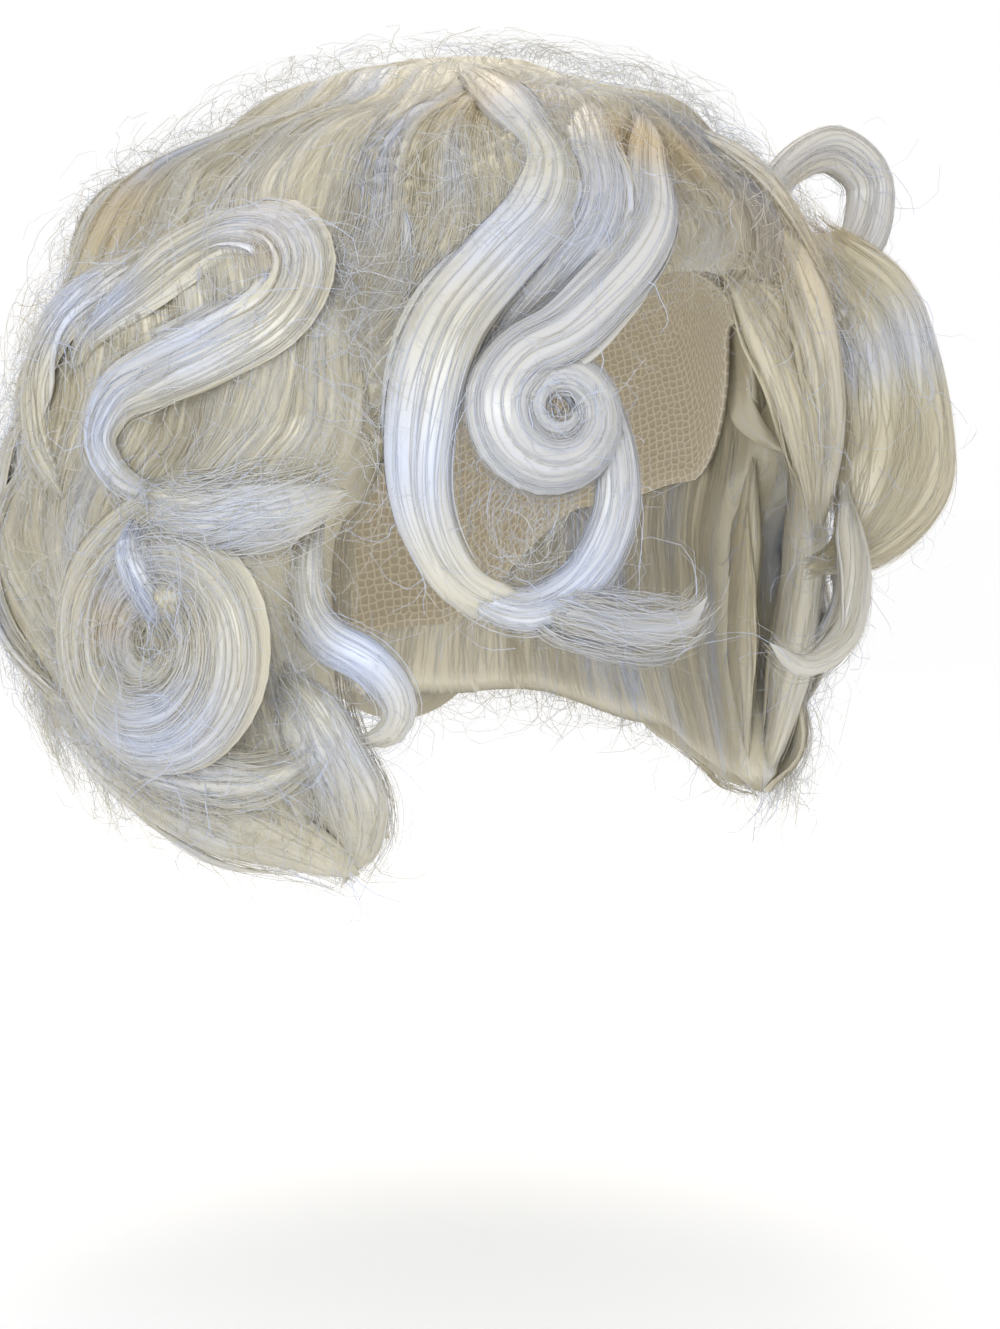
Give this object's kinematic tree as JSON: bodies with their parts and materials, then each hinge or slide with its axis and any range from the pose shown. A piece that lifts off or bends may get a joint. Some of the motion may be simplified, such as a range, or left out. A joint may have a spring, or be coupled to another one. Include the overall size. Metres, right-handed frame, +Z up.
{
  "type": "short curly wig",
  "caption": "Short, full wig of pale curled hair in waves, ring curls and swept face-framing locks on a thin net cap that is open below for the head.",
  "frame": {"origin": "inside of the cap at the crown, where the top of the head sits", "axes": "+Z up out of the crown, -Y the way the face looks, +X to the wearer's left"},
  "size_m": [0.289, 0.2739, 0.2436],
  "materials": {
    "cap_net": "matt stretch net",
    "hair": "satin synthetic fibre"
  },
  "bodies": {
    "root": {"cap": "cap_net", "fringe_right": "hair", "fringe_left": "hair", "crown_hair": "hair", "side_right": "hair", "side_left": "hair", "back_hair": "hair"}
  },
  "joints": []
}
